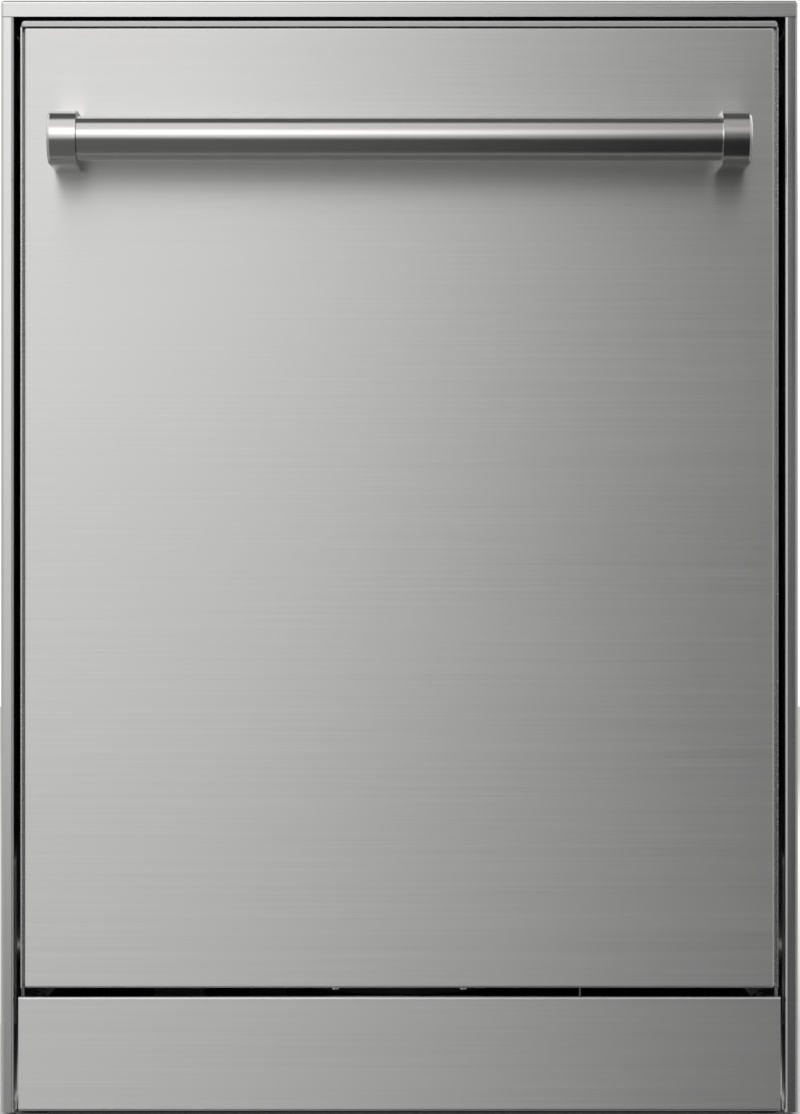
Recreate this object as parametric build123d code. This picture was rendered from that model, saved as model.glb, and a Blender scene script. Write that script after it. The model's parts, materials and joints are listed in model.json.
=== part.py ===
from build123d import *
from math import cos, pi, sin
import os

# Built in dishwasher. X runs across the front, Y from front to back, Z up, in millimetres.
# The origin is on the floor, under the middle of the whole outline.

# Outer casing
half_width = 302.5
casing_front = -261.0
casing_back = 323.0
casing_bottom = 3.0
casing_height = 847.0
top_strip = 12.2
sheet = 1.2
edge_return = 10.0

# Door, which turns about a horizontal line beside the tub's lower front lip
door_front = -263.0
door_back = -213.0
door_half = 284.5
liner_half = 279.0
rim_half = 287.5
door_bottom = 97.7
door_top = 826.0
strip_top = 831.8
hinge_y = -201.0
hinge_z = 160.0
pin_radius = 5.0
running_gap = 0.05

# Handle
bar_radius = 16.5
collar_radius = 20.5
collar_inner = 240.5
collar_outer = 262.0
handle_y = -304.5
handle_z = 737.0

# Tub
tub_half = 266.0
tub_front = -205.0
tub_back = 288.5
tub_floor = 163.0
tub_ceiling = 812.0
tub_wall = 1.5
basin_floor = 140.0
tub_centre_y = 42.0

# Sump and filters
sump_centre_y = 15.0
sump_radius = 80.0
filter_y = -22.0

# Racks
rim_wire = 2.4
thin_wire = 1.6
wire_bend = 10.0
rack_front = -188.0
lower_half = 246.0
lower_back = 250.0
lower_floor = 215.0
lower_rim = 352.0
upper_half = 237.5
upper_back = 240.0
upper_floor = 462.0
upper_rim = 600.0
wheel_radius = 16.0
wheel_x = 238.0
wheel_rows = (-75.0, 200.0)
wheel_z = tub_floor + wheel_radius + 0.3
axle_radius = 3.0
lower_fold_y = 70.0
upper_fold_y = 40.0
rail_z = 549.0
tray_z = 706.0
tray_half = 234.0
tray_front = -184.0
tray_back = 236.0
grid_low = tray_z + 2.5
grid_high = tray_z + 4.5

# Base and feet
base_half = 287.0
foot_x = 279.0
foot_rows = (-235.0, 286.0)
foot_radius = 11.0
stud_radius = 5.0
service_z = 40.0
spigot_shoulder = 299.0

button_names = ("power", "program", "delay", "start")
button_x = (-205.0, -165.0, -125.0, 205.0)
button_y = -238.0


def box(x0, x1, y0, y1, z0, z1):
    centre = Pos((x0 + x1) / 2, (y0 + y1) / 2, (z0 + z1) / 2)
    return centre * Box(x1 - x0, y1 - y0, z1 - z0)


def rod(start, end, radius):
    start = Vector(*start)
    end = Vector(*end)
    span = end - start
    base = Plane(origin=start, z_dir=span)
    return base * Cylinder(radius, span.length, align=(Align.CENTER, Align.CENTER, Align.MIN))


def tube(start, end, outer, inner):
    return rod(start, end, outer) - rod(start, end, inner)


def wire(points, radius, bend=0.0):
    path = FilletPolyline(*points, radius=bend) if bend else Polyline(*points)
    return sweep(Plane(origin=path @ 0, z_dir=path % 0) * Circle(radius), path=path)


def join(pieces):
    return pieces[0].fuse(*pieces[1:])


def both_sides(piece):
    return [piece, mirror(piece, about=Plane.YZ)]


def folded_strip(points, thickness, bend):
    line = FilletPolyline(*points, radius=bend)
    return make_face(offset(line, amount=thickness, side=Side.LEFT, closed=True))


def spread(low, high, count):
    return [low + (high - low) * i / (count - 1) for i in range(count)]


def save(name, shape):
    pieces = shape if isinstance(shape, list) else [shape]
    solids = [solid for piece in pieces for solid in piece.solids()]
    whole = solids[0] if len(solids) == 1 else Compound(solids)
    export_step(whole, "parts/" + name + ".step")


# Casing

def casing_top():
    low = casing_height - top_strip
    lid = box(-half_width, half_width, casing_front, casing_back, low, casing_height)
    upper = lid.faces().sort_by(Axis.Z)[-1].edges().sort_by(Axis.Y)[:-1]
    corners = lid.edges().filter_by(Axis.Z).group_by(Axis.Y)[0]
    lid = fillet(upper + corners, 2.0)
    inside = box(-half_width + sheet, half_width - sheet, casing_front + sheet, casing_back - sheet,
                 low - 1, casing_height - sheet)
    lip = box(-half_width + sheet, half_width - sheet, casing_front + sheet, casing_front + edge_return,
              low, low + sheet)
    return lid - inside + lip


def casing_side():
    rear = casing_back - sheet - 0.2
    points = [(half_width - edge_return, casing_front + 20), (half_width - edge_return, casing_front),
              (half_width, casing_front), (half_width, rear), (half_width - 17.5, rear)]
    top = casing_height - top_strip - 0.5
    panel = Pos(0, 0, casing_bottom) * extrude(folded_strip(points, sheet, 2.2), top - casing_bottom)
    for z in (200.0, 760.0):
        panel -= rod((half_width - 3, casing_front + 26, z), (half_width + 3, casing_front + 26, z), 2.75)
    return panel


def casing_back_panel():
    low = 68.0
    high = casing_height - top_strip - 1.0
    inner = casing_back - sheet
    panel = box(-half_width + 2, half_width - 2, inner, casing_back, low, high)
    for z in (230.0, 430.0, 630.0):
        ridge = box(-210, 210, casing_back - 5, casing_back, z - 5, z + 5)
        swage = rod((-210, casing_back, z), (210, casing_back, z), 5.0) & ridge
        panel = panel + swage - rod((-208.8, casing_back, z), (208.8, casing_back, z), 3.8)
    for row in back_screw_places():
        panel -= rod((row[0], inner - 1, row[1]), (row[0], casing_back + 1, row[1]), 2.2)
    return panel


def back_screw_places():
    places = [(side * (half_width - 9), z) for side in (-1, 1) for z in spread(90, 815, 5)]
    return places + [(-110.0, 78.0), (110.0, 78.0)]


def casing_screws():
    screws = []
    for x, z in back_screw_places():
        head = rod((x, casing_back + 0.1, z), (x, casing_back + 1.9, z), 4.0)
        head = fillet(head.edges().sort_by(Axis.Y)[-1], 1.4)
        shank = rod((x, casing_back - 0.9, z), (x, casing_back + 0.2, z), 2.0)
        screws.append(head + shank)
    return screws


def toe_kick():
    low = 4.5
    high = 91.0
    points = [(door_front + 13, low), (door_front, low), (door_front, high), (door_front + 5, high)]
    face = folded_strip([(y, z) for y, z in reversed(points)], sheet, 1.8)
    bar = Pos(-289, 0, 0) * extrude(Plane.YZ * face, 578)
    for side in both_sides(box(287.8, 289, door_front + 2, door_front + 12, low + 2, high - 5)):
        bar += side
    return bar


def base_tray():
    front = -246.0
    rear = 299.0
    tray = box(-base_half, base_half, front, rear, 10, 66)
    tray -= box(-base_half + 3, base_half - 3, front + 3, rear - 3, 13, 70)
    for y in foot_rows:
        for boss in both_sides(box(foot_x - 9, base_half, y - 9, y + 9, 10, 64)):
            tray += boss
    for y in foot_rows:
        for side in (-1, 1):
            tray -= rod((side * foot_x, y, 5), (side * foot_x, y, 70), stud_radius + running_gap)
    tray -= box(-base_half - 1, base_half + 1, rear - 12, rear + 5, 5, 9)
    for x, radius in ((-200.0, 17.0), (-120.0, 14.0)):
        tray -= rod((x, rear - 8, service_z), (x, rear + 8, service_z), radius)
    tray -= box(165, 215, rear - 8, rear + 8, service_z - 21, service_z + 21)
    for y in spread(-180, 220, 5):
        tray += box(-base_half + 3, base_half - 3, y - 1.5, y + 1.5, 13, 19)
    return tray


def foot(side, y):
    pad = rod((side * foot_x, y, 0), (side * foot_x, y, 8), foot_radius)
    pad = fillet(pad.edges().sort_by(Axis.Z)[-1], 2.0)
    return pad + rod((side * foot_x, y, 7), (side * foot_x, y, 60), stud_radius)


# Tub

def rounded_block(x, y0, y1, z0, z1, radius):
    block = box(-x, x, y0, y1, z0, z1)
    return fillet(block.edges().filter_by(Axis.Y), radius)


def basin(grow):
    top = Plane.XY.offset(tub_floor + 0.01) * RectangleRounded(430 + 2 * grow, 345 + 2 * grow, 40)
    floor = Plane.XY.offset(basin_floor - grow) * RectangleRounded(370 + 2 * grow, 285 + 2 * grow, 30)
    return Pos(0, 67.5, 0) * loft([floor, top])


def tub():
    outer = rounded_block(tub_half + tub_wall, tub_front, tub_back + tub_wall,
                          tub_floor - tub_wall, tub_ceiling + tub_wall, 24)
    inner = rounded_block(tub_half, tub_front - 5, tub_back, tub_floor, tub_ceiling, 22.5)
    flange = rounded_block(279.5, tub_front - tub_wall, tub_front, 157, 825, 12)
    shell = outer + flange - inner
    shell = shell + basin(tub_wall) - basin(0)
    shell -= box(-tub_half + 30, tub_half - 30, tub_front + 10, tub_back - 30, tub_floor, tub_floor + 2)
    shell -= rod((0, sump_centre_y, 130), (0, sump_centre_y, 150), sump_radius)
    shell -= rod((-195, -122, 150), (-195, -122, 170), 3.06)
    for x in (-30, 30):
        shell -= rod((x, 262, 150), (x, 262, 170), 4.3)
    return shell


def tub_gasket():
    ring = rounded_block(277, -212.3, tub_front - tub_wall, 157, 823, 14)
    ring -= rounded_block(268, -220, -200, tub_floor, 814, 8)
    return ring


def sound_blanket():
    outer = rounded_block(285, -198, 300, 240, 824, 20)
    inner = rounded_block(275, -200, 291, 230, 816, 18)
    return outer - inner


def sump():
    cup = rod((0, sump_centre_y, 68), (0, sump_centre_y, 138), sump_radius - 0.4)
    cup -= rod((0, sump_centre_y, 71), (0, sump_centre_y, 139), sump_radius - 3.4)
    rim = tube((0, sump_centre_y, 134.5), (0, sump_centre_y, 138.2), sump_radius + 9, sump_radius - 3.4)
    post = tube((0, tub_centre_y, 70), (0, tub_centre_y, 176), 10.5, 7.0)
    outlet = rod((50, sump_centre_y + 50, 96), (50, 136, 96), 17)
    outlet -= rod((50, sump_centre_y + 40, 96), (50, 137, 96), 14.5)
    body = cup + rim + outlet
    body -= rod((0, sump_centre_y, 71), (0, sump_centre_y, 134), sump_radius - 3.4)
    return body + post


def coarse_filter():
    z = basin_floor - 1.6
    plate = rod((0, sump_centre_y, z), (0, sump_centre_y, z + 1.4), sump_radius - 0.8)
    plate -= rod((0, filter_y, z - 1), (0, filter_y, z + 3), 31)
    plate -= rod((0, tub_centre_y, z - 1), (0, tub_centre_y, z + 3), 11)
    for radius, count in ((72.0, 48), (65.0, 42)):
        for i in range(count):
            x = radius * cos(2 * pi * i / count)
            y = sump_centre_y + radius * sin(2 * pi * i / count)
            if abs(x) > 20 or y > tub_centre_y + 15:
                plate -= rod((x, y, z - 1), (x, y, z + 3), 1.9)
    return plate


def fine_filter():
    cup = tube((0, filter_y, 80), (0, filter_y, 146), 29, 27)
    cup += rod((0, filter_y, 80), (0, filter_y, 82), 29)
    for z in (92, 108, 124):
        for turn in range(8):
            slot = box(-7, 7, 24, 32, z, z + 11)
            cup -= Pos(0, filter_y, 0) * (Rot(0, 0, 45 * turn) * slot)
    cup += box(-27.5, 27.5, filter_y - 3, filter_y + 3, 134, 152)
    return cup


def float_cap():
    cap = rod((-195, -122, 163.5), (-195, -122, 186), 14)
    cap = fillet(cap.edges().sort_by(Axis.Z)[-1], 4)
    cap -= rod((-195, -122, 163), (-195, -122, 183), 11.5)
    return cap + rod((-195, -122, 150), (-195, -122, 184), 3.0)


def heater():
    z = 171.0
    path = [(-30, 262, 148), (-30, 262, z), (-30, 222, z), (-186, 222, z), (-186, -92, z),
            (186, -92, z), (186, 222, z), (30, 222, z), (30, 262, z), (30, 262, 148)]
    return wire(path, 4.0, [6, 14, 40, 40, 40, 40, 14, 6])


def riser_duct():
    back = box(-22, 22, 274, tub_back - 0.3, 205, 800)
    roof = box(-22, 22, tub_centre_y - 20, tub_back - 0.3, 798, tub_ceiling - 0.3)
    dock = box(-14, 14, 264, 276, 442, 460)
    duct = fillet((back + roof).edges().filter_by(Axis.Z), 5)
    stub = rod((0, tub_centre_y, 786), (0, tub_centre_y, 800), 7)
    return duct + dock + stub


# Spray arms

def spray_arm(z, reach, hub_low, hub_high, hub_radius, bore, bore_low, bore_high):
    outline = [(0, 17), (reach - 16, 11), (reach, 5), (reach, -5), (reach - 16, -11), (0, -17)]
    half = Polyline(*outline, close=True)
    blade = extrude(make_face(half), 10)
    blade = blade + mirror(blade, about=Plane.YZ)
    blade = Pos(0, 0, z) * blade
    hub = rod((0, 0, hub_low), (0, 0, hub_high), hub_radius)
    arm = blade + hub - rod((0, 0, bore_low), (0, 0, bore_high), bore + running_gap)
    for i, x in enumerate(spread(38, reach - 18, 6)):
        for side in (-1, 1):
            y = 5 * (-1) ** i
            arm -= rod((side * x, y, z + 5), (side * x, y, z + 12), 2.0)
    return Pos(0, tub_centre_y, 0) * arm


# Pumps and services under the tub

def circulation_pump():
    volute = rod((50, 137, 90), (50, 165, 90), 42)
    volute -= rod((50, 139, 90), (50, 162, 90), 35)
    volute -= rod((50, 130, 96), (50, 140, 96), 14.5)
    volute -= rod((50, 160, 90), (50, 166, 90), axle_radius + running_gap)
    outlet = tube((86, 151, 90), (86, 151, 132), 9, 7)
    outlet -= rod((50, 139, 90), (50, 162, 90), 35)
    motor = rod((50, 165, 90), (50, 235, 90), 33)
    motor -= rod((50, 160, 90), (50, 200, 90), axle_radius + running_gap)
    fins = [Pos(50, 0, 90) * (Rot(0, 30 * i, 0) * box(-1.5, 1.5, 172, 228, 30, 37)) for i in range(12)]
    return join([volute + outlet + motor] + fins)


def pump_impeller():
    hub = rod((50, 146, 90), (50, 160, 90), 12)
    shaft = rod((50, 159, 90), (50, 198, 90), axle_radius)
    vanes = [Pos(50, 0, 90) * (Rot(0, 60 * i, 0) * box(-1.5, 1.5, 147, 159, 9, 30)) for i in range(6)]
    return join([hub + shaft] + vanes)


def drain_pump():
    body = rod((-58, 106, 96), (-58, 150, 96), 24)
    nose = rod((-58, 96, 96), (-58, 107, 96), 14)
    outlet = tube((-58, 118, 96), (-100, 118, 96), 9, 7)
    return body + nose + outlet


def inlet_valve():
    body = box(-222, -178, 250, 284, 24, 58)
    spigot = rod((-200, 298, service_z), (-200, 322, service_z), 13.2)
    spigot += rod((-200, 283, service_z), (-200, spigot_shoulder, service_z), 15.5)
    spigot -= rod((-200, 292, service_z), (-200, 323, service_z), 8)
    coil = rod((-200, 262, 58), (-200, 262, 84), 13)
    return body + spigot + coil


def drain_outlet():
    body = box(-136, -104, 262, 284, 24, 56)
    spigot = rod((-120, 298, service_z), (-120, 322, service_z), 10)
    spigot += rod((-120, 283, service_z), (-120, spigot_shoulder, service_z), 12)
    spigot -= rod((-120, 270, service_z), (-120, 323, service_z), 8)
    body -= rod((-120, 270, service_z), (-120, 290, service_z), 8)
    return body + spigot


def terminal_box():
    case = box(166, 214, 240, 316, service_z - 20, service_z + 20)
    case -= box(169, 211, 243, 313, service_z - 17, service_z + 17)
    case -= rod((190, 312, service_z), (190, 320, service_z), 11)
    return case


# Hinges

def hinge_arm():
    lug = rod((280.3, hinge_y, hinge_z), (283.3, hinge_y, hinge_z), 14)
    leg = box(280.3, 283.3, hinge_y - 46, hinge_y - 15, 150, 300)
    bridge = box(280.3, 283.3, hinge_y - 30, hinge_y, 150, 174)
    tail_end = (hinge_y + 28, hinge_z - 28)
    tail = Pos(281.8, hinge_y + 14, hinge_z - 14) * (Rot(-45, 0, 0) * Box(3, 40, 12))
    arm = lug + leg + bridge + tail + rod((280.3, *tail_end), (283.3, *tail_end), 6)
    arm -= rod((279, hinge_y, hinge_z), (285, hinge_y, hinge_z), pin_radius + running_gap)
    for z in (200, 280):
        arm += rod((liner_half, hinge_y - 32, z), (280.3, hinge_y - 32, z), 5)
    return arm


def hinge_bracket():
    plate = box(288, 290.4, -230, -110, 66, 200)
    plate = fillet(plate.edges().filter_by(Axis.X).group_by(Axis.Z)[-1], 14)
    pin = rod((279.9, hinge_y, hinge_z), (289, hinge_y, hinge_z), pin_radius)
    shelf = box(276.8, 289, -181, -165, 66, 69)
    foot_flange = box(270, 290.4, -160, -110, 66, 68)
    return plate + pin + shelf + foot_flange


def hinge_spring():
    low = 70.0
    height = 54.0
    coil = Helix(pitch=6.0, height=height - 4, radius=4.0)
    start = Plane(origin=coil @ 0, z_dir=coil % 0)
    spring = sweep(start * Circle(0.9), path=coil)
    return Pos(281.8, hinge_y + 28, low + 2) * spring


# Door

def door_panel():
    panel = box(-door_half, door_half, door_front, door_front + 13.5, door_bottom, door_top)
    panel = fillet(panel.edges().filter_by(Axis.Y), 2.0)
    panel = fillet(panel.faces().sort_by(Axis.Y)[0].edges(), 1.8)
    panel -= box(-door_half + sheet, door_half - sheet, door_front + sheet, door_front + 14,
                 door_bottom + sheet, door_top - sheet)
    for x in (-251.2, 251.2):
        panel -= rod((x, door_front - 1, handle_z), (x, door_front + 2, handle_z), 2.8)
    for x in (-48.6, 48.6):
        panel -= rod((x, door_front + 7, door_bottom - 1), (x, door_front + 7, door_bottom + 2), 2.2)
    return panel


def door_liner():
    front = door_front + 15
    pan = box(-liner_half, liner_half, front, door_back, 100, 826.7)
    pan = fillet(pan.faces().sort_by(Axis.Y)[-1].edges(), 5)
    hollow = box(-liner_half + sheet, liner_half - sheet, front - 1, door_back - sheet, 101.2, 825.5)
    pan -= fillet(hollow.faces().sort_by(Axis.Y)[-1].edges(), 3.8)
    for rim in both_sides(box(liner_half - sheet, rim_half, front - sheet, front, door_bottom, 826.7)):
        pan += rim
    for lip in both_sides(box(rim_half - sheet, rim_half, front - 14, front, door_bottom, 826.7)):
        pan += lip
    for rail in both_sides(box(231, 245, door_back - 1, -200, 173, 372)):
        pan += fillet(rail.faces().sort_by(Axis.Y)[-1].edges(), 3)
    for z in (700.0, 410.0):
        swell = box(-215, 215, door_back - 1, door_back + 4, z, z + 26)
        pan += fillet(swell.faces().sort_by(Axis.Y)[-1].edges(), 3.5)
    pan -= box(-86, 66, door_back - 2, door_back + 2, 470, 606)
    pan -= box(-17, 17, door_back - 2, door_back + 2, 795, 812)
    return pan


def door_insulation():
    return box(-268, 268, -247, -238, 116, 770)


def control_module():
    case = box(-90, 90, -258, -232, 782, 820)
    return fillet(case.edges().filter_by(Axis.Z), 4)


def control_strip():
    strip = box(-rim_half, rim_half, door_front + 1, door_back, 827.2, strip_top)
    strip = fillet(strip.edges().filter_by(Axis.X).group_by(Axis.Z)[-1], 1.5)
    strip = fillet(strip.edges().filter_by(Axis.Z), 3.0)
    for x in button_x:
        strip -= box(x - 11.3, x + 11.3, button_y - 5.3, button_y + 5.3, 820, 840)
    return strip


def button(x):
    cap = box(x - 11, x + 11, button_y - 5, button_y + 5, 828.3, 832.9)
    return fillet(cap.faces().sort_by(Axis.Z)[-1].edges(), 0.8)


def handle_bar():
    bar = rod((-collar_inner, handle_y, handle_z), (collar_inner, handle_y, handle_z), bar_radius)
    reach = collar_inner + 1
    return bar - rod((-reach, handle_y, handle_z), (reach, handle_y, handle_z), bar_radius - 2)


def handle_bracket():
    head = rod((collar_inner, handle_y, handle_z), (collar_outer, handle_y, handle_z), collar_radius)
    low = handle_z - collar_radius
    post = box(collar_inner, collar_outer, handle_y, door_front, low, low + 2 * collar_radius)
    bracket = head + post
    outline = bracket.faces().sort_by(Axis.X)[-1].edges()
    bracket = fillet(outline.sort_by(Axis.Y)[:-1], 2.5)
    spigot_start = (collar_inner - 18, handle_y, handle_z)
    bracket += rod(spigot_start, (collar_inner + 1, handle_y, handle_z), bar_radius - 2)
    return bracket - rod((251.2, door_front + 1, handle_z), (251.2, door_front - 20, handle_z), 2.6)


def door_screws():
    screws = []
    for x in (-251.2, 251.2):
        shank = rod((x, door_front - 18, handle_z), (x, door_front + 3, handle_z), 2.5)
        screws.append(shank + rod((x, door_front + sheet, handle_z), (x, door_front + 4.5, handle_z), 5.5))
    for x in (-48.6, 48.6):
        shank = rod((x, door_front + 7, door_bottom - 0.2), (x, door_front + 7, door_bottom + 6), 2.0)
        head = rod((x, door_front + 7, door_bottom - 2), (x, door_front + 7, door_bottom - 0.1), 3.4)
        screws.append(shank + fillet(head.edges().sort_by(Axis.Z)[0], 1.0))
    return screws


def dispenser_body():
    face = box(-95, 75, door_back + 0.3, door_back + 5, 461, 615)
    face = fillet(face.edges().filter_by(Axis.Y), 12)
    face = fillet(face.faces().sort_by(Axis.Y)[-1].edges(), 1.5)
    well = box(-84, 64, -236, door_back + 1, 473, 603)
    body = face + well
    body -= box(-78, -16, -233, door_back + 9, 540, 598)
    body -= rod((40, -233, 572), (40, door_back + 9, 572), 14)
    return body


def dispenser_lid():
    lid = box(-82, -12, door_back + 5.3, door_back + 8.3, 536, 602)
    lid = fillet(lid.edges().filter_by(Axis.Y), 6)
    lid = fillet(lid.faces().sort_by(Axis.Y)[-1].edges(), 1.2)
    return lid + box(-62, -32, door_back + 8, door_back + 11, 545, 549)


def rinse_aid_cap():
    cap = rod((40, door_back + 5.3, 572), (40, door_back + 8.3, 572), 19)
    cap = fillet(cap.edges().sort_by(Axis.Y)[-1], 1.0)
    plug = rod((40, door_back - 6, 572), (40, door_back + 6, 572), 13.5)
    grip = box(37.5, 42.5, door_back + 8, door_back + 12, 557, 587)
    return cap + plug + grip


def door_latch():
    housing = box(-15, 15, -232, door_back - sheet - 0.2, 792, 815)
    tongue = box(-9, 9, -216, -190, 799, 806)
    return housing + fillet(tongue.faces().sort_by(Axis.Y)[-1].edges(), 1.5)


def door_catch():
    plate = box(-22, 22, -203, -172, 809, tub_ceiling - 0.2)
    for cheek in both_sides(box(10, 13, -203, -180, 797, 810)):
        plate += cheek
    return plate


# Racks

def side_grid(x, front, back, floor, rim, count):
    # A side wall: upright wires that bend in under the basket, with two rails along them
    foot_x_in = x - wire_bend - 2
    pieces = [wire([(foot_x_in, y, floor), (x, y, floor), (x, y, rim)], thin_wire, wire_bend)
              for y in spread(front + 22, back - 22, count)]
    pieces.append(rod((x, front + 1, rim), (x, back - 1, rim), rim_wire))
    pieces.append(rod((x, front + 1, rim - 60), (x, back - 1, rim - 60), rim_wire))
    return join(pieces)


def end_grid(y, half, floor, rim, count, inward):
    # A front or back wall, made the same way
    foot_y = y + inward * (wire_bend + 2)
    pieces = [wire([(x, foot_y, floor + 3), (x, y, floor + 3), (x, y, rim)], thin_wire, wire_bend)
              for x in spread(-half + 24, half - 24, count)]
    pieces.append(rod((-half + 6, y, rim), (half - 6, y, rim), rim_wire))
    pieces.append(rod((-half + 6, y, rim - 60), (half - 6, y, rim - 60), rim_wire))
    return join(pieces)


def floor_grid(half, front, back, floor, across, along):
    inset = wire_bend + 2
    pieces = [rod((-half + inset, y, floor), (half - inset, y, floor), thin_wire)
              for y in spread(front + 22, back - 22, across)]
    pieces += [rod((x, front + inset, floor + 3), (x, back - inset, floor + 3), thin_wire)
               for x in spread(-half + 24, half - 24, along)]
    return join(pieces)


def tine_row(y, floor, half, height, count):
    pieces = [rod((x, y, floor), (x, y, floor + height), thin_wire)
              for x in spread(-half + 18, half - 18, count)]
    return join([rod((-half, y, floor), (half, y, floor), 2.0)] + pieces)


def basket(half, back, floor, rim, across, along, uprights):
    left = side_grid(half, rack_front, back, floor, rim, uprights)
    return [floor_grid(half, rack_front, back, floor, across, along), *both_sides(left),
            end_grid(rack_front, half, floor, rim - 20, along, 1),
            end_grid(back, half, floor, rim, along, -1)]


def fold_clips(y, z, half):
    clip = box(half - 9, half - 3, y - 5, y + 5, z - 2.9, z + 5)
    clip -= rod((half - 12, y, z), (half, y, z), 2.0 + running_gap)
    return both_sides(clip)


def wheel_carrier(y):
    plate = box(226, 230.6, y - 12, y + 12, wheel_z - 9, lower_floor - thin_wire - 0.1)
    plate = fillet(plate.edges().filter_by(Axis.X).group_by(Axis.Z)[0], 8)
    return plate + rod((230, y, wheel_z), (wheel_x + 6.4, y, wheel_z), axle_radius)


def lower_rack():
    parts = basket(lower_half, lower_back, lower_floor, lower_rim, 12, 11, 12)
    for y in wheel_rows:
        parts += both_sides(wheel_carrier(y))
    for y in (-110.0, 170.0):
        parts.append(tine_row(y, lower_floor + 6.7, 205, 78, 11))
    parts += fold_clips(lower_fold_y, lower_floor + 8, 214)
    return parts


def rack_wheels(y):
    wheel = rod((wheel_x - 7, y, wheel_z), (wheel_x + 6, y, wheel_z), wheel_radius)
    wheel = fillet(wheel.edges(), 1.5)
    wheel -= rod((wheel_x - 8, y, wheel_z), (wheel_x + 8, y, wheel_z), axle_radius + running_gap)
    for turn in range(5):
        hole = rod((wheel_x - 8, 0, 9.5), (wheel_x + 8, 0, 9.5), 2.6)
        wheel -= Pos(0, y, wheel_z) * (Rot(72 * turn, 0, 0) * hole)
    return both_sides(wheel)


def upper_rack():
    parts = basket(upper_half, upper_back, upper_floor, upper_rim, 12, 11, 12)
    parts += both_sides(box(upper_half + rim_wire + 0.1, 255.6, -186, 238, rail_z - 3.6, rail_z + 3.6))
    feed = box(-11, 11, tub_centre_y - 14, 263.5, 447, upper_floor - thin_wire - 0.1)
    parts.append(feed + rod((0, tub_centre_y, 434), (0, tub_centre_y, 448), 6.5))
    parts.append(tine_row(150.0, upper_floor + 6.7, 195, 58, 11))
    parts += fold_clips(upper_fold_y, upper_floor + 8, 204)
    return parts


def rail_middle():
    member = box(250, 261.6, -193, 263, rail_z - 7.6, rail_z + 7.6)
    return member - box(249, 256, -195, 265, rail_z - 4, rail_z + 4)


def rack_rails():
    rail = box(257, tub_half - 0.2, -195, 265, rail_z - 12, rail_z + 12)
    rail -= box(256, 262, -197, 267, rail_z - 8, rail_z + 8)
    ledge = box(240, tub_half - 0.2, -195, 265, tray_z - 4, tray_z - 0.8)
    ledge += box(262, tub_half - 0.2, -195, 265, tray_z - 4, tray_z + 12)
    return both_sides(rail) + both_sides(ledge)


def cutlery_tray():
    frame = box(-tray_half, tray_half, tray_front, tray_back, tray_z + 1.5, tray_z + 32)
    frame = fillet(frame.edges().filter_by(Axis.Z), 14)
    frame -= tray_inside(2.5, grid_low, tray_z + 40)
    frame -= tray_inside(7.0, tray_z, tray_z + 40)
    runner = box(tray_half, 258, tray_front + 20, tray_back - 20, tray_z - 0.4, tray_z + 6)
    return [frame, *both_sides(runner)]


def tray_inside(wall, low, high):
    return box(-tray_half + wall, tray_half - wall, tray_front + wall, tray_back - wall, low, high)


def cutlery_grid():
    # the lift-out floor rests on the frame's ledge, and three dividers stand on it
    grid = tray_inside(2.9, grid_low, grid_high)
    for y in spread(tray_front + 22, tray_back - 40, 14):
        for x in (-170, -57, 57, 170):
            grid -= box(x - 44, x + 44, y, y + 16, tray_z, tray_z + 6)
    dividers = []
    for x in (-113.5, 0, 113.5):
        dividers.append(box(x - 1.2, x + 1.2, tray_front + 3, tray_back - 3, grid_high, tray_z + 26))
    return [grid, *dividers]


os.makedirs("parts", exist_ok=True)

save("casing_top", casing_top())
for side_name, side_shape in zip(("right", "left"), both_sides(casing_side())):
    save("casing_side_" + side_name, side_shape)
save("casing_back", casing_back_panel())
save("casing_screws", casing_screws())
save("toe_kick", toe_kick())
save("base_tray", base_tray())
for row_name, foot_y in zip(("front", "rear"), foot_rows):
    for side_name, side in (("left", -1), ("right", 1)):
        save("foot_" + row_name + "_" + side_name, foot(side, foot_y))

save("tub", tub())
save("tub_gasket", tub_gasket())
save("sound_blanket", sound_blanket())
save("sump", sump())
save("coarse_filter", coarse_filter())
save("fine_filter", fine_filter())
save("float_cap", float_cap())
save("heater", heater())
save("riser_duct", riser_duct())
save("door_catch", door_catch())
save("lower_spray_arm", spray_arm(179.0, 222.0, 160.0, 191.0, 16.0, 10.5, 159.0, 187.0))
save("middle_spray_arm", spray_arm(430.0, 205.0, 428.0, 446.5, 13.0, 6.5, 433.0, 447.0))
save("top_spray_arm", spray_arm(784.0, 150.0, 780.0, 797.0, 13.0, 7.0, 785.0, 798.0))

save("circulation_pump", circulation_pump())
save("pump_impeller", pump_impeller())
save("drain_pump", drain_pump())
save("inlet_valve", inlet_valve())
save("drain_outlet", drain_outlet())
save("terminal_box", terminal_box())

save("hinge_brackets", both_sides(hinge_bracket()))
save("hinge_arms", both_sides(hinge_arm()))
save("hinge_springs", both_sides(hinge_spring()))

save("door_panel", door_panel())
save("door_liner", door_liner())
save("door_insulation", door_insulation())
save("control_module", control_module())
save("control_strip", control_strip())
for button_name, x in zip(button_names, button_x):
    save("button_" + button_name, button(x))
save("handle_bar", handle_bar())
for side_name, side_shape in zip(("right", "left"), both_sides(handle_bracket())):
    save("handle_bracket_" + side_name, side_shape)
save("door_screws", door_screws())
save("dispenser_body", dispenser_body())
save("dispenser_lid", dispenser_lid())
save("rinse_aid_cap", rinse_aid_cap())
save("door_latch", door_latch())

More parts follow.
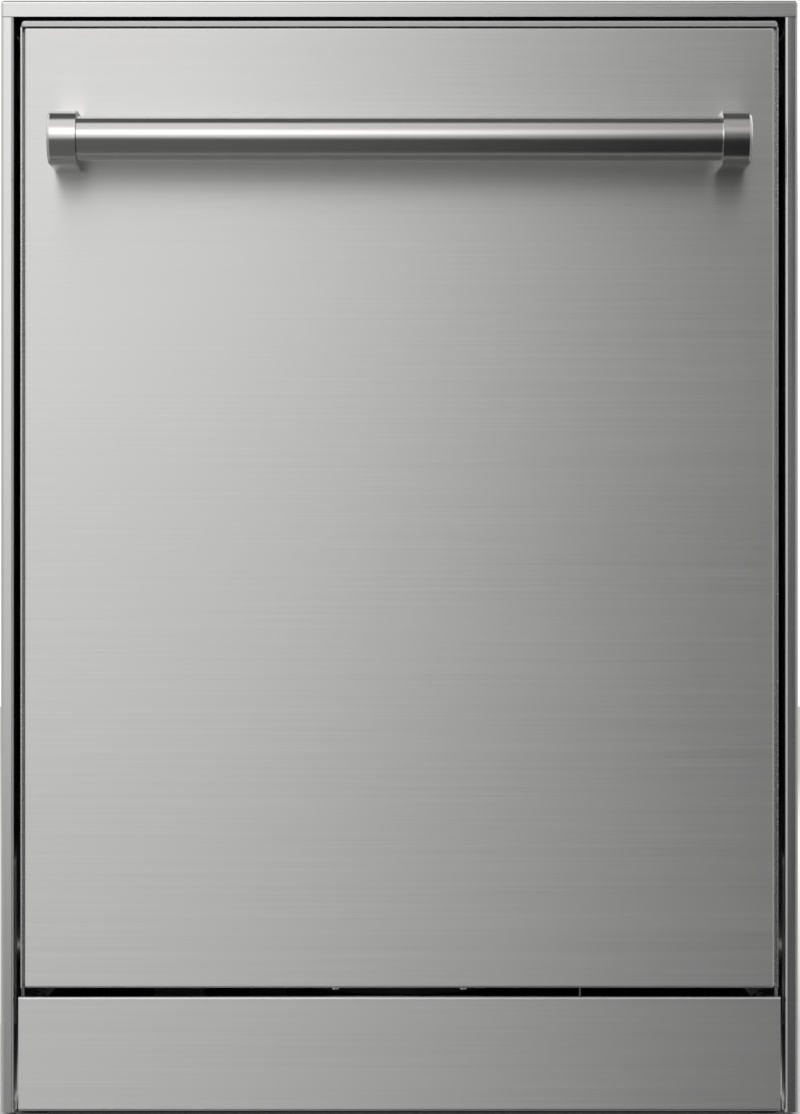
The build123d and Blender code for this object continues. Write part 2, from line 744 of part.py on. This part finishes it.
save("lower_rack", lower_rack())
save("lower_tine_row", tine_row(lower_fold_y, lower_floor + 8, 214, 95, 12))
save("rack_wheels_front", rack_wheels(wheel_rows[0]))
save("rack_wheels_rear", rack_wheels(wheel_rows[1]))
save("upper_rack", upper_rack())
save("upper_tine_row", tine_row(upper_fold_y, upper_floor + 8, 204, 62, 12))
save("rail_middle_members", both_sides(rail_middle()))
save("rack_rails", rack_rails())
save("cutlery_tray", cutlery_tray())
save("cutlery_grid", cutlery_grid())
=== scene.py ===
import bpy
import bmesh
import json
import math
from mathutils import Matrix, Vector


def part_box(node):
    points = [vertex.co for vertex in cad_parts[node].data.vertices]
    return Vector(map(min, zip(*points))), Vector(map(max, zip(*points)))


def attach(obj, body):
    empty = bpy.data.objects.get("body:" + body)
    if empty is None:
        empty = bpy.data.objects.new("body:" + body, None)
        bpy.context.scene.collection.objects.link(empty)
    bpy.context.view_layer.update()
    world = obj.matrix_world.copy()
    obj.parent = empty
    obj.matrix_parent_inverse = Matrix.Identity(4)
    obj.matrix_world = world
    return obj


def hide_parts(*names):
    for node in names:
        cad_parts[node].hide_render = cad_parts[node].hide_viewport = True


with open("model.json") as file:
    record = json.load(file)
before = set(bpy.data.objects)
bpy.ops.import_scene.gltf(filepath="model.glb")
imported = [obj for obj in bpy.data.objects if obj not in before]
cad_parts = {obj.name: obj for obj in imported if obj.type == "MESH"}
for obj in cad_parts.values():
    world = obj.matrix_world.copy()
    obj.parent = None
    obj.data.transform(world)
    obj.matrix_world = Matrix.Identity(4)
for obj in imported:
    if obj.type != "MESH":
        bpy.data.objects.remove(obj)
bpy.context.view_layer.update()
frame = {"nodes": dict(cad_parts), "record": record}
nodes = frame["nodes"]
print("loaded", len(nodes), "nodes")

studio = {
    "distance": 2.65,         # from the door's face to the lens, m
    "viewHeight": 0.8455,     # height seen at the casing's front edge, m
    "aim": (0.0004, 0.4246),  # x and z of the level line of sight
    "sensor": 36,             # mm
    "farClip": 60,
}


def addCamera(v):
    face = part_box("door_panel")[0].y
    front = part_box("casing_side_left")[0].y
    bpy.ops.object.camera_add(location=(v["aim"][0], face - v["distance"], v["aim"][1]),
                              rotation=(math.radians(90), 0, 0))
    cam = bpy.context.object
    cam.name = "frontCamera"
    cam.data.sensor_width = v["sensor"]
    cam.data.lens = v["sensor"] * (front - cam.location.y) / v["viewHeight"]
    cam.data.clip_end = v["farClip"]
    bpy.context.scene.camera = cam
    bpy.context.scene.view_settings.view_transform = "Standard"


addCamera(studio)


def link(tree, a, b):
    tree.links.new(a, b)


def mathNode(tree, kind, a, b=None):
    n = tree.nodes.new("ShaderNodeMath")
    n.operation = kind
    for i, value in enumerate((a, b)):
        if value is None:
            continue
        if isinstance(value, (int, float)):
            n.inputs[i].default_value = value
        else:
            link(tree, value, n.inputs[i])
    return n.outputs[0]


def rangeNode(tree, value, lo, hi, outLo, outHi, smooth=True):
    n = tree.nodes.new("ShaderNodeMapRange")
    n.interpolation_type = "SMOOTHSTEP" if smooth else "LINEAR"
    link(tree, value, n.inputs["Value"])
    for key, number in (("From Min", lo), ("From Max", hi), ("To Min", outLo), ("To Max", outHi)):
        n.inputs[key].default_value = number
    return n.outputs["Result"]


skyLight = {
    "colour": (1.0, 0.995, 0.985, 1),
    "edge": (-0.24, 0.14, 0.13, 1.0),      # in front: the dark below turns into the lit wall, by height
    "turn": (-0.05, 0.11, 0.0, 1.0),       # the lit left turns into the dim right
    "rightDim": (0.20, 0.85, 0.0, 0.4),    # how bright the right stays, low down and higher up
    "lift": (0.14, 0.34, 1.0, 1.9),        # a bright band runs above the wall
    "roof": (0.45, 0.75, 1.0, 0.46),       # the roof over it is dimmer
    "around": (-0.30, 0.55, 0.34, 0.88),   # the rest of the studio, by height
    "aroundSide": (-0.9, 0.9, 1.08, 0.76), # and from its left to its right
    "frontWidth": (0.20, 0.42, 1.0, 0.0),  # the front wall ends at the sides
    "frontDepth": (-0.20, 0.25, 1.0, 0.0),
    "gapAbove": (-0.26, -0.05, 0.0, 0.88), # a dark gap in the roof over the machine
    "gapHeight": (0.50, 0.72, 0.0, 1.0),
}


def buildSky(v):
    world = bpy.data.worlds.new("studioSky")
    bpy.context.scene.world = world
    world.use_nodes = True
    tree = world.node_tree
    tree.nodes.clear()
    coords = tree.nodes.new("ShaderNodeTexCoord")
    parts = tree.nodes.new("ShaderNodeSeparateXYZ")
    link(tree, coords.outputs["Generated"], parts.inputs[0])
    across, depth, up = parts.outputs

    def times(a, b):
        return mathNode(tree, "MULTIPLY", a, b)

    def oneMinus(a):
        return mathNode(tree, "SUBTRACT", 1.0, a)

    narrow = rangeNode(tree, mathNode(tree, "ABSOLUTE", across), *v["frontWidth"])
    front = rangeNode(tree, up, *v["edge"])
    lost = times(oneMinus(rangeNode(tree, up, *v["rightDim"])), rangeNode(tree, across, *v["turn"]))
    for factor in (oneMinus(lost), rangeNode(tree, up, *v["lift"]), rangeNode(tree, up, *v["roof"])):
        front = times(front, factor)
    around = times(rangeNode(tree, up, *v["around"]), rangeNode(tree, across, *v["aroundSide"]))
    inFront = times(narrow, rangeNode(tree, depth, *v["frontDepth"]))
    level = mathNode(tree, "ADD", times(front, inFront), times(around, oneMinus(inFront)))
    gap = times(rangeNode(tree, depth, *v["gapAbove"]), rangeNode(tree, up, *v["gapHeight"]))
    gap = times(gap, narrow)
    level = times(level, oneMinus(gap))
    glow = tree.nodes.new("ShaderNodeBackground")
    glow.inputs["Color"].default_value = v["colour"]
    link(tree, level, glow.inputs["Strength"])
    plain = tree.nodes.new("ShaderNodeBackground")
    plain.inputs["Color"].default_value = (1, 1, 1, 1)
    path = tree.nodes.new("ShaderNodeLightPath")
    mix = tree.nodes.new("ShaderNodeMixShader")
    link(tree, path.outputs["Is Camera Ray"], mix.inputs[0])
    link(tree, glow.outputs[0], mix.inputs[1])
    link(tree, plain.outputs[0], mix.inputs[2])
    out = tree.nodes.new("ShaderNodeOutputWorld")
    link(tree, mix.outputs[0], out.inputs[0])


buildSky(skyLight)


lamps = {     # place, what it points at, width and height in m, watts
    "keySoftbox": ((-1.9, -1.9, 2.0), (0, -0.2, 0.5), (1.3, 1.3), 0.5),
    "rearFill": ((1.6, 2.4, 1.8), (0, 0.2, 0.4), (1.6, 1.6), 30),
}


def addLamp(name, place, target, size, power):
    bpy.ops.object.light_add(type="AREA", location=place)
    light = bpy.context.object
    light.name = name
    light.data.shape = "RECTANGLE"
    light.data.size, light.data.size_y = size
    light.data.energy = power
    light.rotation_euler = (Vector(target) - Vector(place)).to_track_quat("-Z", "Y").to_euler()
    light.visible_camera = False


for lampName, lamp in lamps.items():
    addLamp(lampName, *lamp)

paleFloor = {"size": 14, "shade": 0.90}


def addFloor(v):
    bpy.ops.mesh.primitive_plane_add(size=v["size"], location=(0, 0, 0))
    floor = bpy.context.object
    floor.name = "studioFloor"
    mat = bpy.data.materials.new("paleFloor")
    mat.use_nodes = True
    tree = mat.node_tree
    tree.nodes.clear()
    out = tree.nodes.new("ShaderNodeOutputMaterial")
    pale = tree.nodes.new("ShaderNodeBsdfDiffuse")
    pale.inputs[0].default_value = (v["shade"], v["shade"], v["shade"], 1)
    link(tree, pale.outputs[0], out.inputs[0])
    floor.visible_glossy = False
    floor.data.materials.append(mat)


addFloor(paleFloor)
print("camera, sky, lights and floor")

def newGroup(name, inputs, outputs):
    g = bpy.data.node_groups.new(name, "ShaderNodeTree")
    for key, kind, value in inputs:
        s = g.interface.new_socket(name=key, in_out="INPUT", socket_type=kind)
        s.default_value = value
    for key, kind in outputs:
        g.interface.new_socket(name=key, in_out="OUTPUT", socket_type=kind)
    return g, g.nodes.new("NodeGroupInput"), g.nodes.new("NodeGroupOutput")


def brushedGroup():
    # long fine scratches along one axis, with a slow cloudiness over them
    inputs = [("Stretch", "NodeSocketVector", (6.0, 900.0, 900.0)),
              ("Long Stretch", "NodeSocketVector", (1.2, 260.0, 260.0)),
              ("Cloud Scale", "NodeSocketFloat", 2.2)]
    outputs = [(key, "NodeSocketFloat") for key in ("Fine", "Long", "Cloud")]
    g, gin, gout = newGroup("brushedStreaks", inputs, outputs)
    coords = g.nodes.new("ShaderNodeTexCoord")
    for key, outName, detail in (("Stretch", "Fine", 3.0), ("Long Stretch", "Long", 2.0)):
        scale = g.nodes.new("ShaderNodeVectorMath")
        scale.operation = "MULTIPLY"
        link(g, coords.outputs["Object"], scale.inputs[0])
        link(g, gin.outputs[key], scale.inputs[1])
        noise = g.nodes.new("ShaderNodeTexNoise")
        noise.inputs["Scale"].default_value = 1.0
        noise.inputs["Detail"].default_value = detail
        noise.inputs["Roughness"].default_value = 0.6
        link(g, scale.outputs[0], noise.inputs["Vector"])
        link(g, noise.outputs["Fac"], gout.inputs[outName])
    cloud = g.nodes.new("ShaderNodeTexNoise")
    cloud.inputs["Detail"].default_value = 2.0
    link(g, coords.outputs["Object"], cloud.inputs["Vector"])
    link(g, gin.outputs["Cloud Scale"], cloud.inputs["Scale"])
    link(g, cloud.outputs["Fac"], gout.inputs["Cloud"])
    return g


def mouldedGroup():
    # the fine spark-eroded grain of a moulded surface, and faint flow marks
    inputs = [("Grain Scale", "NodeSocketFloat", 900.0), ("Flow Scale", "NodeSocketFloat", 9.0)]
    outputs = [("Grain", "NodeSocketFloat"), ("Flow", "NodeSocketFloat")]
    g, gin, gout = newGroup("mouldedGrain", inputs, outputs)
    coords = g.nodes.new("ShaderNodeTexCoord")
    grain = g.nodes.new("ShaderNodeTexNoise")
    grain.inputs["Detail"].default_value = 2.0
    flow = g.nodes.new("ShaderNodeTexNoise")
    flow.inputs["Detail"].default_value = 3.0
    flow.inputs["Distortion"].default_value = 0.6
    for n, key, outName in ((grain, "Grain Scale", "Grain"), (flow, "Flow Scale", "Flow")):
        link(g, coords.outputs["Object"], n.inputs["Vector"])
        link(g, gin.outputs[key], n.inputs["Scale"])
        link(g, n.outputs["Fac"], gout.inputs[outName])
    return g


def edgeGroup():
    # bright worn edges, from how much the surface turns within a small radius
    inputs = [("Low", "NodeSocketFloat", 0.53), ("High", "NodeSocketFloat", 0.62)]
    g, gin, gout = newGroup("edgeWear", inputs, [("Edge", "NodeSocketFloat")])
    geometry = g.nodes.new("ShaderNodeNewGeometry")
    ramp = g.nodes.new("ShaderNodeMapRange")
    link(g, geometry.outputs["Pointiness"], ramp.inputs["Value"])
    link(g, gin.outputs["Low"], ramp.inputs["From Min"])
    link(g, gin.outputs["High"], ramp.inputs["From Max"])
    link(g, ramp.outputs["Result"], gout.inputs["Edge"])
    return g


brushedStreaks = brushedGroup()
mouldedGrain = mouldedGroup()
edgeWear = edgeGroup()


def useGroup(tree, group, **values):
    n = tree.nodes.new("ShaderNodeGroup")
    n.node_tree = group
    for key, value in values.items():
        n.inputs[key.replace("_", " ")].default_value = value
    return n


def startMaterial(name):
    mat = bpy.data.materials.new(name)
    mat.use_nodes = True
    tree = mat.node_tree
    shader = tree.nodes["Principled BSDF"]
    return mat, tree, shader


def mixColour(tree, factor, low, high):
    n = tree.nodes.new("ShaderNodeMix")
    n.data_type = "RGBA"
    link(tree, factor, n.inputs["Factor"])
    for key, value in (("A", low), ("B", high)):
        socket = [s for s in n.inputs if s.name == key and s.type == "RGBA"][0]
        if hasattr(value, "is_linked"):
            link(tree, value, socket)
        else:
            socket.default_value = (*value, 1)
    return [s for s in n.outputs if s.type == "RGBA"][0]


brushing = {
    "fineShare": 0.55,        # fine scratches against long ones
    "longShare": 0.45,
    "noise": (0.30, 0.70),    # where the noise starts and ends
    "cloudRough": 0.015,      # how far the cloudiness moves the roughness
    "grainTurn": 0.25,        # of a full turn, so that the spread lies across the streaks
    "depth": 0.00004,         # m
}


def tinted(colour, scale, lift=0.0):
    return tuple(min(1.0, c * scale + lift) for c in colour)


def surfaceBump(tree, shader, height, strength, depth):
    bump = tree.nodes.new("ShaderNodeBump")
    bump.inputs["Strength"].default_value = strength
    bump.inputs["Distance"].default_value = depth
    link(tree, height, bump.inputs["Height"])
    link(tree, bump.outputs[0], shader.inputs["Normal"])


def brushedSteel(name, v):
    mat, tree, shader = startMaterial(name)
    streaks = useGroup(tree, brushedStreaks, Stretch=v["stretch"], Long_Stretch=v["longStretch"],
                       Cloud_Scale=v["cloudScale"])
    fine, long, cloud = streaks.outputs
    tone = mathNode(tree, "ADD", mathNode(tree, "MULTIPLY", fine, brushing["fineShare"]),
                    mathNode(tree, "MULTIPLY", long, brushing["longShare"]))
    spread = rangeNode(tree, tone, *brushing["noise"], 0.0, 1.0, smooth=False)
    dark = tinted(v["colour"], 1 - v["contrast"])
    light = tinted(v["colour"], 1 + v["contrast"])
    link(tree, mixColour(tree, spread, dark, light), shader.inputs["Base Color"])
    streakRough = rangeNode(tree, tone, *brushing["noise"], v["rough"] - v["roughSpread"],
                            v["rough"] + v["roughSpread"], smooth=False)
    cloudRough = rangeNode(tree, cloud, *brushing["noise"], -brushing["cloudRough"],
                           brushing["cloudRough"])
    link(tree, mathNode(tree, "ADD", streakRough, cloudRough), shader.inputs["Roughness"])
    shader.inputs["Metallic"].default_value = 1.0
    if "spread" in v:      # brushing widens what the metal mirrors, across its streaks only
        shader.inputs["Anisotropic"].default_value = v["spread"]
        shader.inputs["Anisotropic Rotation"].default_value = brushing["grainTurn"]
    surfaceBump(tree, shader, fine, v["bump"], brushing["depth"])
    return mat


moulding = {
    "flowDark": 0.93,         # flow marks, as parts of the colour
    "flowLight": 1.06,
    "wornScale": 1.25,        # worn edges are lighter
    "wornLift": 0.01,
    "wornShare": 0.35,
    "noise": (0.30, 0.70),
    "roughSpread": 0.05,
    "depth": 0.0001,          # m
    "flow": 9.0,
    "bump": 0.25,
    "coatRough": 0.08,
}


def mouldedPlastic(name, v):
    mat, tree, shader = startMaterial(name)
    grain = useGroup(tree, mouldedGrain, Grain_Scale=v["grain"], Flow_Scale=moulding["flow"])
    edge = useGroup(tree, edgeWear)
    low = tinted(v["colour"], moulding["flowDark"])
    high = tinted(v["colour"], moulding["flowLight"])
    worn = tinted(v["colour"], moulding["wornScale"], moulding["wornLift"])
    flowTone = mixColour(tree, grain.outputs["Flow"], low, high)
    edgeMask = mathNode(tree, "MULTIPLY", edge.outputs["Edge"], moulding["wornShare"])
    link(tree, mixColour(tree, edgeMask, flowTone, worn), shader.inputs["Base Color"])
    rough = rangeNode(tree, grain.outputs["Grain"], *moulding["noise"],
                      v["rough"] - moulding["roughSpread"], v["rough"] + moulding["roughSpread"])
    link(tree, rough, shader.inputs["Roughness"])
    surfaceBump(tree, shader, grain.outputs["Grain"], v.get("bump", moulding["bump"]), moulding["depth"])
    if "coat" in v:
        shader.inputs["Coat Weight"].default_value = v["coat"]
        shader.inputs["Coat Roughness"].default_value = moulding["coatRough"]
    return mat


acrossGrain = (7.0, 1100.0, 1100.0)      # streaks run along X
acrossLong = (1.5, 420.0, 420.0)
uprightGrain = (1100.0, 1100.0, 7.0)     # streaks run along Z, as on the side panels
uprightLong = (420.0, 420.0, 1.5)

steelLooks = {
    "stainless_front": dict(colour=(0.86, 0.86, 0.86), contrast=0.045, rough=0.36, roughSpread=0.03,
                            spread=0.85, stretch=acrossGrain, longStretch=acrossLong, cloudScale=2.0,
                            bump=0.35),
    "stainless_casing": dict(colour=(0.78, 0.78, 0.78), contrast=0.04, rough=0.20, roughSpread=0.03,
                             stretch=uprightGrain, longStretch=uprightLong, cloudScale=2.0, bump=0.2),
    "casingLid": dict(colour=(0.78, 0.78, 0.78), contrast=0.04, rough=0.24, roughSpread=0.03,
                      stretch=acrossGrain, longStretch=acrossLong, cloudScale=2.0, bump=0.2),
    "stainless_handle": dict(colour=(0.74, 0.735, 0.73), contrast=0.03, rough=0.17, roughSpread=0.02,
                             stretch=acrossGrain, longStretch=acrossLong, cloudScale=6.0, bump=0.2),
    "stainless_tub": dict(colour=(0.72, 0.72, 0.71), contrast=0.05, rough=0.26, roughSpread=0.03,
                          stretch=acrossGrain, longStretch=acrossLong, cloudScale=3.0, bump=0.25),
    "galvanised_sheet": dict(colour=(0.60, 0.62, 0.63), contrast=0.08, rough=0.42, roughSpread=0.06,
                             stretch=(60.0, 60.0, 60.0), longStretch=(25.0, 25.0, 25.0),
                             cloudScale=5.0, bump=0.15),
    "zinc_steel": dict(colour=(0.60, 0.61, 0.60), contrast=0.05, rough=0.36, roughSpread=0.05,
                       stretch=(120.0, 120.0, 120.0), longStretch=(40.0, 40.0, 40.0),
                       cloudScale=9.0, bump=0.2),
    "zinc_screws": dict(colour=(0.66, 0.66, 0.64), contrast=0.05, rough=0.25, roughSpread=0.04,
                        stretch=(200.0, 200.0, 200.0), longStretch=(90.0, 90.0, 90.0),
                        cloudScale=30.0, bump=0.1),
    "heater_steel": dict(colour=(0.33, 0.31, 0.28), contrast=0.12, rough=0.38, roughSpread=0.05,
                         stretch=(90.0, 90.0, 90.0), longStretch=(30.0, 30.0, 30.0),
                         cloudScale=14.0, bump=0.2),
    "dark_strip": dict(colour=(0.62, 0.62, 0.62), contrast=0.04, rough=0.30, roughSpread=0.03,
                       stretch=acrossGrain, longStretch=acrossLong, cloudScale=3.0, bump=0.2),
}
plasticLooks = {
    "black_plastic": dict(colour=(0.022, 0.022, 0.024), grain=1000.0, rough=0.48),
    "grey_plastic": dict(colour=(0.30, 0.32, 0.34), grain=1200.0, rough=0.42, bump=0.15),
    "white_plastic": dict(colour=(0.72, 0.72, 0.70), grain=1200.0, rough=0.38, bump=0.1),
    "dispenser_plastic": dict(colour=(0.40, 0.43, 0.47), grain=1400.0, rough=0.32, bump=0.1),
    "button_plastic": dict(colour=(0.06, 0.06, 0.065), grain=1600.0, rough=0.35, bump=0.1),
    "foot_plastic": dict(colour=(0.05, 0.05, 0.05), grain=900.0, rough=0.6),
    "tray_plastic": dict(colour=(0.28, 0.30, 0.33), grain=1200.0, rough=0.38, bump=0.12),
    "coated_wire": dict(colour=(0.25, 0.27, 0.30), grain=700.0, rough=0.33, bump=0.08, coat=0.3),
    "grey_rubber": dict(colour=(0.10, 0.10, 0.105), grain=1500.0, rough=0.7, bump=0.3),
    "felt_blanket": dict(colour=(0.10, 0.095, 0.09), grain=500.0, rough=0.9, bump=0.6),
}

finishes = {}
for slotName, look in steelLooks.items():
    finishes[slotName] = brushedSteel(slotName + "Finish", look)
for slotName, look in plasticLooks.items():
    finishes[slotName] = mouldedPlastic(slotName + "Finish", look)

nodeFinish = {"casing_top": "casingLid"}
slotOf = {row["node"]: row["material_slot"] for row in frame["record"]["subparts"]}
for nodeName, node in nodes.items():
    node.data.materials.clear()
    node.data.materials.append(finishes[nodeFinish.get(nodeName, slotOf[nodeName])])
print("materials on", len(nodes), "nodes")


edgeLook = {"crispAngle": 32, "weld": 0.00001}     # degrees, m


def smoothCad(node, v):
    # round faces shade round, while the folds and cut edges stay crisp
    for face in node.data.polygons:
        face.use_smooth = True
    weld = node.modifiers.new("mergeDoubles", "WELD")
    weld.merge_threshold = v["weld"]
    split = node.modifiers.new("crispEdges", "EDGE_SPLIT")
    split.split_angle = math.radians(v["crispAngle"])
    even = node.modifiers.new("evenNormals", "WEIGHTED_NORMAL")
    even.keep_sharp = True


for nodeName, node in nodes.items():
    smoothCad(node, edgeLook)
print("smoothed the round faces")


def selectOnly(obj):
    bpy.ops.object.select_all(action="DESELECT")
    obj.select_set(True)
    bpy.context.view_layer.objects.active = obj


def applyAll(obj):
    selectOnly(obj)
    bpy.ops.object.transform_apply(location=True, rotation=True, scale=True)
    for m in list(obj.modifiers):
        bpy.ops.object.modifier_apply(modifier=m.name)


def boxPrimitive(name, lo, hi):
    bpy.ops.object.select_all(action="DESELECT")
    bpy.ops.mesh.primitive_cube_add(size=1, location=(lo + hi) / 2)
    obj = bpy.context.object
    obj.name = name
    obj.scale = hi - lo
    bpy.ops.object.transform_apply(location=True, rotation=True, scale=True)
    return obj


def pickFaces(obj, test):
    mesh = bmesh.from_edit_mesh(obj.data)
    for f in mesh.faces:
        f.select = bool(test(f))
    mesh.select_flush_mode()
    bmesh.update_edit_mesh(obj.data)


def pickEdges(obj, test):
    mesh = bmesh.from_edit_mesh(obj.data)
    for e in mesh.edges:
        e.select = bool(test(e))
    bmesh.update_edit_mesh(obj.data)


stitching = {"fullness": 3.2, "flat": 0.7}     # how fast the felt fills, and when a face counts as level


def stitchPull(along, other, pitch):
    # 1 on the crossing rows of stitching, 0 where the felt is full
    a = abs(math.sin(math.pi * (along + other) / pitch))
    b = abs(math.sin(math.pi * (along - other) / pitch))
    return 1 - min(1.0, stitching["fullness"] * min(a, b)) ** 0.5


def quilt(obj, pitch, depth):
    mesh = obj.data
    flat = stitching["flat"]
    normals = [v.normal.copy() for v in mesh.vertices]
    for v, n in zip(mesh.vertices, normals):
        along = v.co.x + v.co.y if abs(n.z) > flat else v.co.y + v.co.x * (abs(n.y) > flat)
        other = v.co.z if abs(n.z) < flat else v.co.y
        v.co -= n * depth * stitchPull(along, other, pitch)


blanketLook = {"thickness": 0.0065, "cornerRadius": 0.016, "cuts": 34, "pitch": 0.075,
               "stitchDepth": 0.0022, "bevelSteps": 5, "fill": 0.7}


def soundBlanket(v):
    lo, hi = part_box("sound_blanket")
    inset = Vector((v["thickness"] * 0.5, 0, v["thickness"] * 0.5))
    obj = boxPrimitive("soundBlanket", lo + Vector((inset.x, 0, 0)), hi - inset)
    bpy.ops.object.mode_set(mode="EDIT")
    bpy.ops.mesh.select_mode(type="FACE")
    pickFaces(obj, lambda f: abs(f.normal.y) > 0.9 or f.normal.z < -0.9)
    bpy.ops.mesh.delete(type="FACE")
    bpy.ops.mesh.select_mode(type="EDGE")
    pickEdges(obj, lambda e: all(abs(p.co.z - (hi.z - inset.z)) < 1e-5 for p in e.verts)
              and abs(e.verts[0].co.x - e.verts[1].co.x) < 1e-5)
    bpy.ops.mesh.bevel(offset=v["cornerRadius"], segments=v["bevelSteps"])
    bpy.ops.mesh.select_all(action="SELECT")
    bpy.ops.mesh.subdivide(number_cuts=v["cuts"])
    bpy.ops.mesh.normals_make_consistent(inside=False)
    bpy.ops.object.mode_set(mode="OBJECT")
    quilt(obj, v["pitch"], v["stitchDepth"])
    wall = obj.modifiers.new("felt", "SOLIDIFY")
    wall.thickness = v["thickness"]
    wall.offset = 0
    applyAll(obj)
    bpy.ops.object.shade_smooth()
    obj.data.materials.append(finishes["felt_blanket"])
    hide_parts("sound_blanket")
    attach(obj, "cabinet")


padLook = {"cuts": 50, "pitch": 0.09, "stitchDepth": 0.0022, "edge": 0.003, "edgeSteps": 3,
           "border": 0.01, "fill": 0.8}


def doorPad(v):
    lo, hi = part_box("door_insulation")
    obj = boxPrimitive("doorInsulationPad", lo, hi)
    bpy.ops.object.mode_set(mode="EDIT")
    bpy.ops.mesh.select_all(action="SELECT")
    bpy.ops.mesh.bevel(offset=v["edge"], segments=v["edgeSteps"])
    bpy.ops.mesh.select_mode(type="FACE")
    pickFaces(obj, lambda f: abs(f.normal.y) > 0.99)
    bpy.ops.mesh.subdivide(number_cuts=v["cuts"])
    bpy.ops.object.mode_set(mode="OBJECT")
    border = v["border"]
    for p in obj.data.vertices:
        inside = lo.x + border < p.co.x < hi.x - border and lo.z + border < p.co.z < hi.z - border
        if inside:
            sink = v["stitchDepth"] * stitchPull(p.co.x, p.co.z, v["pitch"])
            p.co.y += sink if p.co.y < (lo.y + hi.y) / 2 else -sink
    selectOnly(obj)
    bpy.ops.object.shade_smooth()
    obj.data.materials.append(finishes["felt_blanket"])
    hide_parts("door_insulation")
    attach(obj, "door")


soundBlanket(blanketLook)
doorPad(padLook)
print("sound blanket and door pad")
